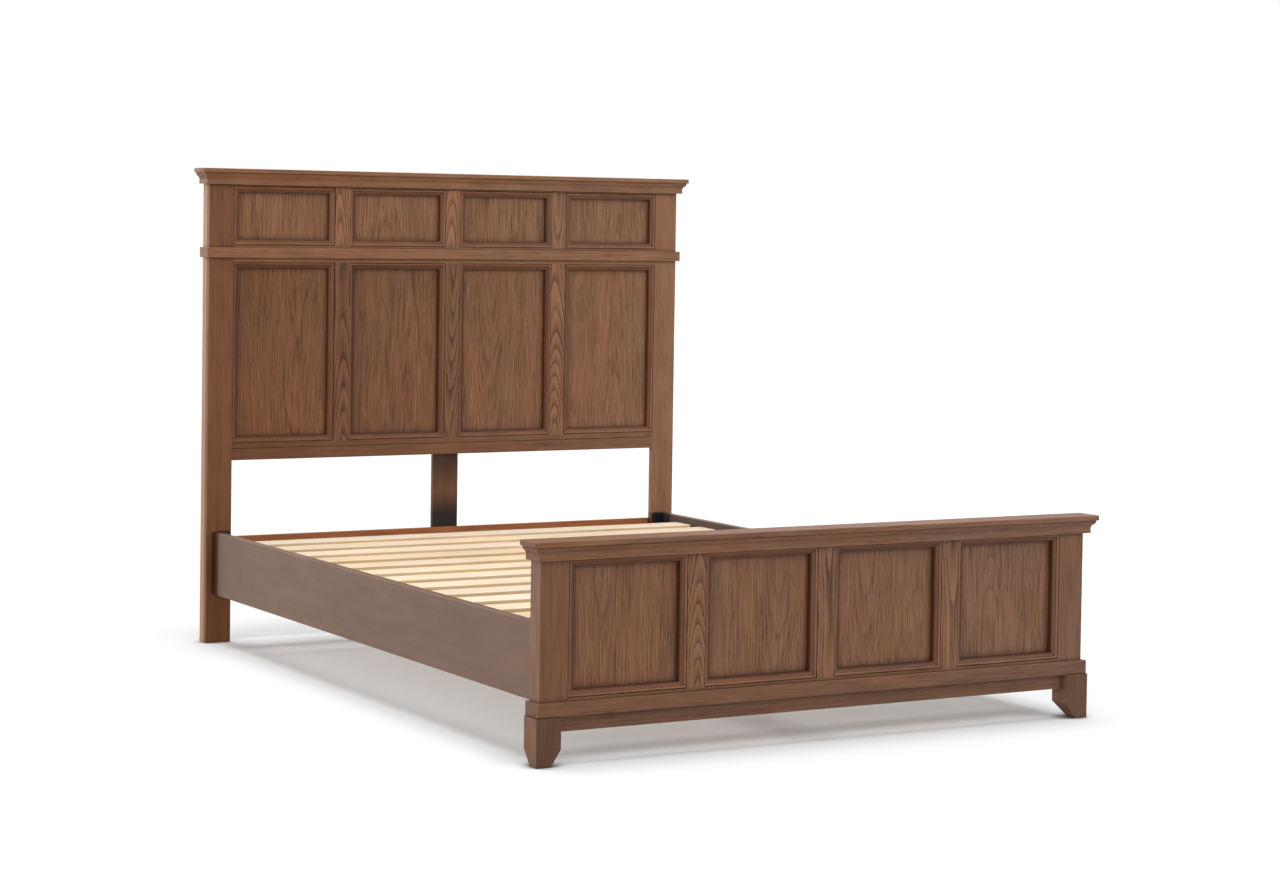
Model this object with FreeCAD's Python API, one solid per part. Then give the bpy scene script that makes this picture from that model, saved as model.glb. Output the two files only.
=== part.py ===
"""Panel bed for a 1524 x 2032 mm mattress.

A tall headboard and a low footboard, each a frame of posts, rails and muntins
round four columns of recessed panels, stand at the ends of two side rails.
Pine slats lie on cleats along the rails and on a centre beam.

Millimetres. X runs across the bed, Y from the foot to the head, Z up.
The origin is on the floor, under the middle of the bed.
"""
import os

import FreeCAD
import Part

Vector = FreeCAD.Vector

# ---------------------------------------------------------------- mattress
mattress_width = 1524.0
mattress_length = 2032.0
side_room = 3.0              # mattress to each side rail
end_room = 24.0              # mattress to headboard and to footboard

# -------------------------------------------------------------- side rails
rail_thickness = 22.0
rail_height = 188.0
rail_bottom = 146.5          # underside of the rail above the floor
rail_end_room = 14.0         # end of the rail to the post, where the bracket's plate lies
rail_edge_radius = 3.0

# ------------------------------------------------- both boards, frame parts
board_depth = 50.0           # front face to back face, posts and returns
muntin_width = 50.0
muntin_count = 3
panel_thickness = 6.0
panel_lap = 14.0             # panel behind the frame, on every side
tenon_length = 12.0
tenon_thickness = 8.0
tenon_shoulder = 6.0         # tenon narrower than its piece, on each edge
tenon_fit = 0.3
arris = 0.8                  # eased edge of posts, rails and muntins
board_fit = 0.5              # loose fit of a piece let in beside another

# ---------------------------------------------------------------- headboard
headboard_height = 1425.0
headboard_post_width = 78.5
headboard_reveal = 22.0      # post stands outside the side rail by this
headboard_frame_thickness = 19.0
return_thickness = 19.0      # side board that turns the post's corner
headboard_top_rail_below_crown = 5.0
headboard_belt_bottom = 1158.0
headboard_belt_height = 31.0
middle_rail_above_belt = 7.0
middle_rail_below_belt = 13.0
bottom_rail_bottom = 548.0
bottom_rail_height = 52.0
bottom_rail_thickness = 36.0
quirk_above_bottom = 34.0    # groove along the face of the bottom rail
quirk_width = 2.5
quirk_depth = 3.0
headboard_cross_rail_height = 90.0
cross_rail_above_slats = 2.0
centre_leg_width = 86.0

# ---------------------------------------------------------------- footboard
footboard_height = 531.5
footboard_post_width = 76.0
footboard_reveal = 14.0
footboard_frame_thickness = 21.0
foot_height = 116.0
foot_width = 66.0
foot_proud = 13.0
foot_chamfer_height = 41.0
foot_toe_width = 39.0        # what is left of the foot's width on the floor
foot_toe_depth = 30.0
foot_peg_width = 36.0
foot_peg_depth = 24.0
foot_peg_height = 20.0
footboard_belt_height = 35.0
bottom_rail_above_belt = 7.0
apron_height = 38.0
apron_thickness = 22.0
apron_set_back = 10.0        # apron face behind the frame's face
footboard_cross_rail_thickness = 22.0

# -------------------------------------------------------- crowns and belts
crown_height = 46.5          # cap and moulding together
cap_thickness = 13.0
cap_overhang = 30.0
cap_edge_radius = 2.0
cap_corner_radius = 4.0
crown_top_overhang = 24.0    # top of the moulding, under the cap
crown_lip_height = 1.5
crown_ovolo_drop = 9.0
crown_ovolo_bulge = 0.6      # out and up from the middle of the ovolo's chord
crown_cusp_overhang = 20.4   # lower end of the ovolo
crown_step = 1.2             # from the ovolo in to the top of the cove
crown_cove_sag = 0.7         # in and up from the middle of the cove's chord
crown_neck_overhang = 13.7
crown_neck_height = 13.5
crown_foot_overhang = 14.2
belt_proud = 10.0
belt_edge_radius = 2.0

# ----------------------------------------------- moulding round each panel
moulding_width = 18.0
bead_width = 8.0
bead_height = 3.5
fillet_drop = 1.5            # small step between the bead and the cove
cove_drop = 2.5
cove_sag = 1.0

# ------------------------------------------------- slats and their support
slat_pitch = 152.0           # wanted, shared out evenly over the run
slat_width = 90.0
slat_thickness = 18.0
slat_below_rail_top = 20.5   # slat top under the rail's top edge
slat_end_room = 3.0
first_slat_to_headboard = 110.0
last_slat_to_footboard = 56.0
slat_edge_radius = 2.0
cleat_width = 22.0
cleat_height = 30.0
cleat_end_room = 10.0        # cleat to the bracket at each end
beam_width = 44.0
beam_height = 70.0
support_leg_count = 2
support_leg_width = 44.0
glide_diameter = 34.0
glide_thickness = 5.0

# ----------------------------------------------------------------- hardware
bracket_plate_thickness = 4.0    # plate on the post
bracket_flange_thickness = 3.0   # flange on the rail's inner face
bracket_height = 184.0
bracket_reach_inside = 26.0  # plate inward from the rail's inner face
bracket_reach_behind = 9.0   # plate outward from there, behind the rail's end
bracket_flange_length = 58.0
bracket_inner_radius = 2.0
bolt_diameter = 6.0
bolt_head_diameter = 12.0
bolt_head_height = 4.0
bolt_head_round = 1.5
bolt_length = 18.0
bolt_hole_room = 0.3         # radial room round a bolt or screw
bolt_rows = 3
bolt_bottom_margin = 20.0    # lowest bolt above the bracket's lower end
bolt_top_margin = 12.0       # highest bolt under the slats
bolt_from_flange_end = 15.0
screw_diameter = 4.0
screw_head_diameter = 8.0
screw_head_height = 3.0
screw_length = 36.0
screw_from_slat_end = 11.0
screw_from_slat_edge = 22.0

# ------------------------------------------------------------- derived places
inside_width = mattress_width + 2 * side_room
inside_length = mattress_length + 2 * end_room
rail_inner = inside_width / 2
rail_outer = rail_inner + rail_thickness
rail_top = rail_bottom + rail_height

total_length = inside_length + 2 * board_depth + cap_overhang
head_back = total_length / 2
head_front = head_back - board_depth
foot_back = head_front - inside_length
foot_front = foot_back - board_depth

head_half = rail_outer + headboard_reveal
foot_half = rail_outer + footboard_reveal
head_post_inner = head_half - headboard_post_width
foot_post_inner = foot_half - footboard_post_width
foot_outer = foot_half + foot_proud
foot_inner = foot_outer - foot_width

head_crown_bottom = headboard_height - crown_height
head_frame_top = headboard_height - cap_thickness
foot_crown_bottom = footboard_height - crown_height
foot_frame_top = footboard_height - cap_thickness

head_top_rail = (head_crown_bottom - headboard_top_rail_below_crown, head_frame_top)
head_middle_rail = (
    headboard_belt_bottom - middle_rail_below_belt,
    headboard_belt_bottom + headboard_belt_height + middle_rail_above_belt,
)
head_bottom_rail = (bottom_rail_bottom, bottom_rail_bottom + bottom_rail_height)
foot_top_rail = (foot_crown_bottom, foot_frame_top)
foot_bottom_rail = (foot_height, foot_height + footboard_belt_height + bottom_rail_above_belt)

slat_top = rail_top - slat_below_rail_top
slat_underside = slat_top - slat_thickness
beam_bottom = slat_underside - beam_height
cleat_bottom = slat_underside - cleat_height

head_panel_front = head_front + headboard_frame_thickness
foot_panel_front = foot_front + footboard_frame_thickness
centre_leg_front = head_front + bottom_rail_thickness
muntin_spacing = (2 * foot_post_inner + muntin_width) / (muntin_count + 1)
muntin_centres = [(i - (muntin_count - 1) / 2) * muntin_spacing for i in range(muntin_count)]

slat_run = inside_length - first_slat_to_headboard - slat_width - last_slat_to_footboard
slat_spaces = round(slat_run / slat_pitch)
bracket_bottom = rail_top - bracket_height


# ------------------------------------------------------------ shape helpers
def block(x, y, z):
    """Box between low and high values on each axis."""
    size = (x[1] - x[0], y[1] - y[0], z[1] - z[0])
    return Part.makeBox(size[0], size[1], size[2], Vector(x[0], y[0], z[0]))


def mirrored(shape):
    """The same piece on the other side of the bed."""
    return shape.mirror(Vector(0, 0, 0), Vector(1, 0, 0))


def grown(box, room):
    """A box, given as three pairs, larger by room on every side."""
    return tuple((low - room, high + room) for low, high in box)


def eased(shape, axis, radius, longer_than):
    """Round the straight edges that run along one axis."""
    chosen = []
    for edge in shape.Edges:
        if edge.Length < longer_than or not isinstance(edge.Curve, Part.Line):
            continue
        run = edge.Vertexes[-1].Point - edge.Vertexes[0].Point
        if abs(abs(getattr(run, axis)) - run.Length) < 0.001:
            chosen.append(edge)
    return shape.makeFillet(radius, chosen)


def polygon_face(points):
    """Flat face through the points, closed back to the first."""
    return Part.Face(Part.makePolygon(points + [points[0]]))


def outline_face(start, steps, place):
    """Face of a moulding's section: each step is an end point or an arc's (middle, end)."""
    edges = []
    here = start
    for step in steps:
        if isinstance(step[0], tuple):
            middle, end = step
            edges.append(Part.Arc(place(*here), place(*middle), place(*end)).toShape())
        else:
            end = step
            edges.append(Part.makeLine(place(*here), place(*end)))
        here = end
    return Part.Face(Part.Wire(edges))


def wrapped(start, steps, half_width, front, back, reach):
    """Moulding round a board's front and both sides, in three mitred lengths."""
    far = half_width + reach

    def section_in_front(out, height):
        return Vector(-far, front - out, height)

    def section_at_side(out, height):
        return Vector(half_width + out, back, height)

    front_run = outline_face(start, steps, section_in_front).extrude(Vector(2 * far, 0, 0))
    side_run = outline_face(start, steps, section_at_side).extrude(Vector(0, front - reach - back, 0))
    bounds = front_run.BoundBox
    rise = Vector(0, 0, bounds.ZLength)

    def corner(x, y):
        return Vector(x, y, bounds.ZMin)

    front_part = polygon_face([
        corner(-half_width, front), corner(half_width, front),
        corner(far, front - reach), corner(-far, front - reach),
    ]).extrude(rise)
    side_part = polygon_face([
        corner(half_width, front), corner(far, front - reach),
        corner(far, back), corner(half_width, back),
    ]).extrude(rise)
    side = side_run.common(side_part)
    return [front_run.common(front_part), side, mirrored(side)]


def compound(shapes):
    """Separate solids of one node."""
    solids = []
    for shape in shapes:
        solids.extend(shape.Solids)
    return Part.makeCompound(solids)


# --------------------------------------------------------- frame and panels
def frame_tenon_depth(front, thickness):
    """Where a tenon lies in the thickness of the frame."""
    inset = (thickness - tenon_thickness) / 2
    return (front + inset, front + inset + tenon_thickness)


def rail_tenons(half_span, front, thickness, z):
    """Boxes of the tenons at both ends of a rail."""
    y = frame_tenon_depth(front, thickness)
    height = (z[0] + tenon_shoulder, z[1] - tenon_shoulder)
    right = ((half_span, half_span + tenon_length), y, height)
    left = ((-half_span - tenon_length, -half_span), y, height)
    return [left, right]


def muntin_tenons(centre, front, thickness, z):
    """Boxes of the tenons at the foot and the head of a muntin."""
    y = frame_tenon_depth(front, thickness)
    half = muntin_width / 2 - tenon_shoulder
    x = (centre - half, centre + half)
    return [(x, y, (z[0] - tenon_length, z[0])), (x, y, (z[1], z[1] + tenon_length))]


def tenoned(piece, tenons):
    """A piece with its tenons on."""
    return piece.fuse([block(*tenon) for tenon in tenons]).removeSplitter()


def mortised(piece, tenons):
    """A piece with the mortises that its neighbours' tenons need."""
    holes = [block(*grown(tenon, tenon_fit)) for tenon in tenons]
    return piece.cut(holes)


def frame_rail(half_span, front, thickness, z, mortises, depth=None):
    """Horizontal rail between the posts, flush with the frame's face."""
    y = (front, front + (depth or thickness))
    rail = block((-half_span, half_span), y, z)
    rail = eased(rail, "x", arris, half_span)
    rail = tenoned(rail, rail_tenons(half_span, front, thickness, z))
    return mortised(rail, mortises)


def frame_muntin(centre, front, thickness, z):
    """Upright between two rails."""
    half = muntin_width / 2
    body = block((centre - half, centre + half), (front, front + thickness), z)
    body = eased(body, "z", arris, (z[1] - z[0]) / 2)
    return tenoned(body, muntin_tenons(centre, front, thickness, z))


def columns(post_inner):
    """Left and right side of each opening between posts and muntins."""
    sides = [-post_inner]
    for centre in muntin_centres:
        sides.extend([centre - muntin_width / 2, centre + muntin_width / 2])
    sides.append(post_inner)
    return list(zip(sides[0::2], sides[1::2]))


def frame_panel(x, z, front):
    """Thin panel fixed behind an opening, lapping the frame all round."""
    x = (x[0] - panel_lap, x[1] + panel_lap)
    z = (z[0] - panel_lap, z[1] + panel_lap)
    return block(x, (front, front + panel_thickness), z)


def panel_moulding(x, z, front, recess):
    """Four mitred lengths of bead and cove round the inside of an opening."""
    bead_end = (bead_width, bead_height)
    cove_start = (bead_width, bead_height + fillet_drop)
    cove_end = (moulding_width, bead_height + fillet_drop + cove_drop)
    cove_middle = ((bead_width + moulding_width) / 2, (cove_start[1] + cove_end[1]) / 2 + cove_sag)
    start = (0, recess)
    steps = [
        (0, bead_height),
        ((bead_width / 2, 0), bead_end),
        cove_start,
        (cove_middle, cove_end),
        (moulding_width, recess),
        start,
    ]
    wide = Vector(x[1] - x[0], 0, 0)
    tall = Vector(0, 0, z[1] - z[0])
    deep = Vector(0, recess, 0)

    def length(place, run, corners):
        stick = outline_face(start, steps, place).extrude(run)
        mitre = polygon_face([Vector(cx, front, cz) for cx, cz in corners]).extrude(deep)
        return stick.common(mitre)

    w = moulding_width
    inner_x = (x[0] + w, x[1] - w)
    inner_z = (z[0] + w, z[1] - w)
    low = length(
        lambda out, d: Vector(x[0], front + d, z[0] + out), wide,
        [(x[0], z[0]), (x[1], z[0]), (inner_x[1], inner_z[0]), (inner_x[0], inner_z[0])])
    high = length(
        lambda out, d: Vector(x[0], front + d, z[1] - out), wide,
        [(x[0], z[1]), (x[1], z[1]), (inner_x[1], inner_z[1]), (inner_x[0], inner_z[1])])
    left = length(
        lambda out, d: Vector(x[0] + out, front + d, z[0]), tall,
        [(x[0], z[0]), (inner_x[0], inner_z[0]), (inner_x[0], inner_z[1]), (x[0], z[1])])
    right = length(
        lambda out, d: Vector(x[1] - out, front + d, z[0]), tall,
        [(x[1], z[0]), (inner_x[1], inner_z[0]), (inner_x[1], inner_z[1]), (x[1], z[1])])
    return [low, high, left, right]


# ---------------------------------------------------------- crowns and belts
def crown_cap(half_width, front, back, top):
    """Flat slab, its edges eased at the front and at both ends."""
    side = half_width + cap_overhang
    slab = block((-side, side), (front - cap_overhang, back), (top - cap_thickness, top))
    corners = []
    for edge in slab.Edges:
        middle = edge.CenterOfMass
        if abs(middle.z - (top - cap_thickness / 2)) < 0.001 and middle.y < front:
            corners.append(edge)
    slab = slab.makeFillet(cap_corner_radius, corners)
    rim = []
    for edge in slab.Edges:
        level = edge.BoundBox.ZLength < 0.001
        if level and edge.CenterOfMass.y < back - 0.001:
            rim.append(edge)
    return slab.makeFillet(cap_edge_radius, rim)


def crown_moulding(half_width, front, back, bottom):
    """Ovolo, small step, cove and plain foot, under the cap."""
    top = bottom + crown_height - cap_thickness
    lip = top - crown_lip_height
    cusp = lip - crown_ovolo_drop
    neck = bottom + crown_neck_height
    cove_overhang = crown_cusp_overhang - crown_step
    ovolo_middle = (
        (crown_top_overhang + crown_cusp_overhang) / 2 + crown_ovolo_bulge,
        (lip + cusp) / 2 - crown_ovolo_bulge,
    )
    cove_middle = (
        (cove_overhang + crown_neck_overhang) / 2 - crown_cove_sag,
        (cusp + neck) / 2 + crown_cove_sag,
    )
    start = (0, bottom)
    steps = [
        (crown_foot_overhang, bottom),
        (crown_neck_overhang, neck),
        (cove_middle, (cove_overhang, cusp)),
        (crown_cusp_overhang, cusp),
        (ovolo_middle, (crown_top_overhang, lip)),
        (crown_top_overhang, top),
        (0, top),
        start,
    ]
    return compound(wrapped(start, steps, half_width, front, back, cap_overhang))


def belt(half_width, front, back, z):
    """Flat band round the board, with both outer edges rounded."""
    r = belt_edge_radius
    slack = r * (1 - 0.5 ** 0.5)
    start = (0, z[0])
    steps = [
        (belt_proud - r, z[0]),
        ((belt_proud - slack, z[0] + slack), (belt_proud, z[0] + r)),
        (belt_proud, z[1] - r),
        ((belt_proud - slack, z[1] - slack), (belt_proud - r, z[1])),
        (0, z[1]),
        start,
    ]
    return compound(wrapped(start, steps, half_width, front, back, 2 * belt_proud))


# ------------------------------------------------------------------ hardware
def board_end(end):
    """Face of the board at one end of the rails, and the way out through it."""
    return (head_front, 1) if end == "head" else (foot_back, -1)


def bolt_heights():
    """Heights of the bolts in a bracket, all under the slats."""
    low = bracket_bottom + bolt_bottom_margin
    high = slat_underside - bolt_top_margin
    return [low + i * (high - low) / (bolt_rows - 1) for i in range(bolt_rows)]


def bolt_points(end):
    """Place and direction of each bolt at one end of the right-hand rail."""
    face, out = board_end(end)
    post_x = rail_inner - bracket_reach_inside / 2
    rail_y = face - out * (bracket_flange_length - bolt_from_flange_end)
    points = []
    for z in bolt_heights():
        points.append((Vector(post_x, face - out * bracket_plate_thickness, z), Vector(0, out, 0)))
        points.append((Vector(rail_inner - bracket_flange_thickness, rail_y, z), Vector(1, 0, 0)))
    return points


def bolt(seat, along):
    """Domed bolt: seat is under its head, along is the way its shank runs."""
    head = Part.makeCylinder(bolt_head_diameter / 2, bolt_head_height, seat, along * -1)
    rim = [e for e in head.Edges
           if isinstance(e.Curve, Part.Circle) and (e.Curve.Center - seat).Length > bolt_head_height / 2]
    head = head.makeFillet(bolt_head_round, rim)
    shank = Part.makeCylinder(bolt_diameter / 2, bolt_length, seat, along)
    return head.fuse(shank).removeSplitter()


def bolt_holes(end):
    """Holes for the bolts, a little longer and wider than the shanks."""
    radius = bolt_diameter / 2 + bolt_hole_room
    holes = []
    for seat, along in bolt_points(end):
        holes.append(Part.makeCylinder(radius, bolt_length + bolt_hole_room, seat, along))
    return holes


def corner_bracket(end):
    """Steel bracket on the right: a plate on the post, a flange on the rail."""
    face, out = board_end(end)
    z = (bracket_bottom, rail_top)
    plate_x = (rail_inner - bracket_reach_inside, rail_inner + bracket_reach_behind)
    plate = block(plate_x, sorted((face - out * bracket_plate_thickness, face)), z)
    flange_y = sorted((face - out * bracket_flange_length, face))
    flange = block((rail_inner - bracket_flange_thickness, rail_inner), flange_y, z)
    bracket = plate.fuse(flange).removeSplitter()
    corner = Vector(
        rail_inner - bracket_flange_thickness, face - out * bracket_plate_thickness, (z[0] + z[1]) / 2)
    inner = [edge for edge in bracket.Edges if (edge.CenterOfMass - corner).Length < 0.01]
    return bracket.makeFillet(bracket_inner_radius, inner).cut(bolt_holes(end))


def screw_places():
    """Top centre of every slat screw."""
    places = []
    x = rail_inner - slat_end_room - screw_from_slat_end
    for y_low, y_high in slat_spans():
        for y in (y_low + screw_from_slat_edge, y_high - screw_from_slat_edge):
            places.extend([Vector(-x, y, slat_top), Vector(x, y, slat_top)])
    return places


def screw_body(top, room, length):
    """Countersunk screw, or the hole for one when there is room round it."""
    radius = screw_diameter / 2 + room
    head_radius = screw_head_diameter / 2 + room
    head = Part.makeCone(head_radius, radius, screw_head_height, top, Vector(0, 0, -1))
    shank = Part.makeCylinder(radius, length, top, Vector(0, 0, -1))
    return head.fuse(shank).removeSplitter()


# ---------------------------------------------------------- slats and support
def slat_spans():
    """Low and high Y of each slat, counted from the headboard."""
    spans = []
    for i in range(slat_spaces + 1):
        high = head_front - first_slat_to_headboard - i * slat_run / slat_spaces
        spans.append((high - slat_width, high))
    return spans


def slat(span):
    """Flat board across the bed with its long edges eased."""
    half = rail_inner - slat_end_room
    body = block((-half, half), span, (slat_underside, slat_top))
    return eased(body, "x", slat_edge_radius, half)


def side_rail():
    """Right-hand rail."""
    y = (foot_back + rail_end_room, head_front - rail_end_room)
    rail = block((rail_inner, rail_outer), y, (rail_bottom, rail_top))
    rail = eased(rail, "y", rail_edge_radius, inside_length / 2)
    return rail.cut(bolt_holes("head") + bolt_holes("foot"))


def slat_cleat(screw_holes):
    """Batten along the inside of the right-hand rail, under the slats' ends."""
    room = bracket_flange_length + cleat_end_room
    body = block(
        (rail_inner - cleat_width, rail_inner),
        (foot_back + room, head_front - room),
        (cleat_bottom, slat_underside))
    return body.cut(screw_holes)


def support_places():
    """Y of each leg under the centre beam."""
    step = inside_length / (support_leg_count + 1)
    return [foot_back + step * (i + 1) for i in range(support_leg_count)]


def support_leg(y):
    """Square leg from its glide to the underside of the beam."""
    half = support_leg_width / 2
    body = block((-half, half), (y - half, y + half), (glide_thickness, beam_bottom))
    return eased(body, "z", slat_edge_radius, beam_bottom / 2)


# ---------------------------------------------------------------- headboard
def headboard():
    """Every wooden piece of the headboard, by name."""
    t = headboard_frame_thickness
    upper = (head_middle_rail[1], head_top_rail[0])
    lower = (head_bottom_rail[1], head_middle_rail[0])
    upper_tenons = [muntin_tenons(c, head_front, t, upper) for c in muntin_centres]
    lower_tenons = [muntin_tenons(c, head_front, t, lower) for c in muntin_centres]
    pieces = {}

    pieces["headboard_top_rail"] = frame_rail(
        head_post_inner, head_front, t, head_top_rail, [high for low, high in upper_tenons])
    pieces["headboard_middle_rail"] = frame_rail(
        head_post_inner, head_front, t, head_middle_rail,
        [low for low, high in upper_tenons] + [high for low, high in lower_tenons])
    pieces["headboard_bottom_rail"] = headboard_bottom_rail([low for low, high in lower_tenons])

    for i, centre in enumerate(muntin_centres, 1):
        pieces[f"headboard_upper_muntin_{i}"] = frame_muntin(centre, head_front, t, upper)
        pieces[f"headboard_lower_muntin_{i}"] = frame_muntin(centre, head_front, t, lower)

    upper_mouldings = []
    lower_mouldings = []
    for i, x in enumerate(columns(head_post_inner), 1):
        pieces[f"headboard_upper_panel_{i}"] = frame_panel(x, upper, head_panel_front)
        pieces[f"headboard_lower_panel_{i}"] = frame_panel(x, lower, head_panel_front)
        upper_mouldings.extend(panel_moulding(x, upper, head_front, t))
        lower_mouldings.extend(panel_moulding(x, lower, head_front, t))
    pieces["headboard_upper_mouldings"] = compound(upper_mouldings)
    pieces["headboard_lower_mouldings"] = compound(lower_mouldings)

    face, side = headboard_post()
    pieces["headboard_post_right"] = face
    pieces["headboard_post_left"] = mirrored(face)
    pieces["headboard_post_side_right"] = side
    pieces["headboard_post_side_left"] = mirrored(side)

    belt_z = (headboard_belt_bottom, headboard_belt_bottom + headboard_belt_height)
    pieces["headboard_belt"] = belt(head_half, head_front, head_back, belt_z)
    pieces["headboard_crown_moulding"] = crown_moulding(
        head_half, head_front, head_back, head_crown_bottom)
    pieces["headboard_crown_cap"] = crown_cap(head_half, head_front, head_back, headboard_height)

    cross_top = slat_top + cross_rail_above_slats
    cross_half = head_half - return_thickness
    pieces["headboard_cross_rail"] = block(
        (-cross_half, cross_half), (head_panel_front, centre_leg_front),
        (cross_top - headboard_cross_rail_height, cross_top))
    pieces["headboard_centre_leg"] = block(
        (-centre_leg_width / 2, centre_leg_width / 2), (centre_leg_front, head_back),
        (0, head_bottom_rail[1] - panel_lap - board_fit))
    return pieces


def headboard_post():
    """Right-hand post: a face board and the side board behind its outer edge."""
    face = block((head_post_inner, head_half), (head_front, head_panel_front), (0, head_frame_top))
    face = eased(face, "z", arris, head_frame_top / 2)
    tenons = []
    for z in (head_top_rail, head_middle_rail, head_bottom_rail):
        tenons.append(rail_tenons(head_post_inner, head_front, headboard_frame_thickness, z)[1])
    face = mortised(face, tenons).cut(bolt_holes("head"))
    side = block(
        (head_half - return_thickness, head_half), (head_panel_front, head_back), (0, head_frame_top))
    return face, side


def headboard_bottom_rail(mortises):
    """Deep rail with a rebate for the panels and a quirk along its face."""
    rail = frame_rail(
        head_post_inner, head_front, headboard_frame_thickness, head_bottom_rail, mortises,
        depth=bottom_rail_thickness)
    rebate = block(
        (-head_post_inner, head_post_inner), (head_panel_front, centre_leg_front),
        (head_bottom_rail[1] - panel_lap - board_fit, head_bottom_rail[1]))
    quirk_low = head_bottom_rail[0] + quirk_above_bottom
    quirk = polygon_face([
        Vector(-head_post_inner, head_front, quirk_low),
        Vector(-head_post_inner, head_front, quirk_low + quirk_width),
        Vector(-head_post_inner, head_front + quirk_depth, quirk_low + quirk_width),
    ]).extrude(Vector(2 * head_post_inner, 0, 0))
    return rail.cut([rebate, quirk])


# ---------------------------------------------------------------- footboard
def footboard():
    """Every wooden piece of the footboard, by name."""
    t = footboard_frame_thickness
    opening = (foot_bottom_rail[1], foot_top_rail[0])
    tenons = [muntin_tenons(c, foot_front, t, opening) for c in muntin_centres]
    pieces = {}

    pieces["footboard_top_rail"] = frame_rail(
        foot_post_inner, foot_front, t, foot_top_rail, [high for low, high in tenons])
    pieces["footboard_bottom_rail"] = frame_rail(
        foot_post_inner, foot_front, t, foot_bottom_rail, [low for low, high in tenons])
    for i, centre in enumerate(muntin_centres, 1):
        pieces[f"footboard_muntin_{i}"] = frame_muntin(centre, foot_front, t, opening)

    mouldings = []
    for i, x in enumerate(columns(foot_post_inner), 1):
        pieces[f"footboard_panel_{i}"] = frame_panel(x, opening, foot_panel_front)
        mouldings.extend(panel_moulding(x, opening, foot_front, t))
    pieces["footboard_mouldings"] = compound(mouldings)

    post = footboard_post()
    pieces["footboard_post_right"] = post
    pieces["footboard_post_left"] = mirrored(post)
    foot = footboard_foot()
    pieces["footboard_foot_right"] = foot
    pieces["footboard_foot_left"] = mirrored(foot)

    belt_z = (foot_height, foot_height + footboard_belt_height)
    pieces["footboard_belt"] = belt(foot_half, foot_front, foot_back, belt_z)
    pieces["footboard_crown_moulding"] = crown_moulding(
        foot_half, foot_front, foot_back, foot_crown_bottom)
    pieces["footboard_crown_cap"] = crown_cap(foot_half, foot_front, foot_back, footboard_height)

    apron_front = foot_front + apron_set_back
    pieces["footboard_apron"] = block(
        (-foot_inner, foot_inner), (apron_front, apron_front + apron_thickness),
        (foot_height - apron_height, foot_height))
    pieces["footboard_cross_rail"] = block(
        (-foot_post_inner, foot_post_inner), (foot_back - footboard_cross_rail_thickness, foot_back),
        (beam_bottom, slat_underside))
    return pieces


def post_panel_groove(x):
    """Room in a footboard post for the edge of the panel beside it."""
    low = foot_bottom_rail[1] - panel_lap
    high = foot_top_rail[0] + panel_lap
    return block(
        (x, x + panel_lap + board_fit),
        (foot_panel_front, foot_panel_front + panel_thickness + board_fit),
        (low - board_fit, high + board_fit))


def footboard_post():
    """Right-hand post, from the top of its foot to the underside of the cap."""
    post = block((foot_post_inner, foot_half), (foot_front, foot_back), (foot_height, foot_frame_top))
    post = eased(post, "z", arris, (foot_frame_top - foot_height) / 2)
    tenons = [foot_peg()]
    for z in (foot_top_rail, foot_bottom_rail):
        tenons.append(rail_tenons(foot_post_inner, foot_front, footboard_frame_thickness, z)[1])
    return mortised(post, tenons).cut(bolt_holes("foot") + [post_panel_groove(foot_post_inner)])


def foot_peg():
    """Box of the square peg on top of the right-hand foot."""
    middle_x = (foot_inner + foot_half) / 2
    middle_y = (foot_front + foot_back) / 2
    return (
        (middle_x - foot_peg_width / 2, middle_x + foot_peg_width / 2),
        (middle_y - foot_peg_depth / 2, middle_y + foot_peg_depth / 2),
        (foot_height, foot_height + foot_peg_height),
    )


def footboard_foot():
    """Right-hand foot: a block cut away at the bottom, inside and behind."""
    front = foot_front - foot_proud
    body = block((foot_inner, foot_outer), (front, foot_back), (0, foot_height))
    inner_cut = polygon_face([
        Vector(foot_inner, front, 0), Vector(foot_outer - foot_toe_width, front, 0),
        Vector(foot_inner, front, foot_chamfer_height),
    ]).extrude(Vector(0, foot_back - front, 0))
    rear_cut = polygon_face([
        Vector(foot_inner, foot_back, 0), Vector(foot_inner, front + foot_toe_depth, 0),
        Vector(foot_inner, foot_back, foot_chamfer_height),
    ]).extrude(Vector(foot_width, 0, 0))
    body = body.cut([inner_cut, rear_cut])
    body = eased(body, "z", arris, foot_height / 2)
    return tenoned(body, [foot_peg()])


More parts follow.
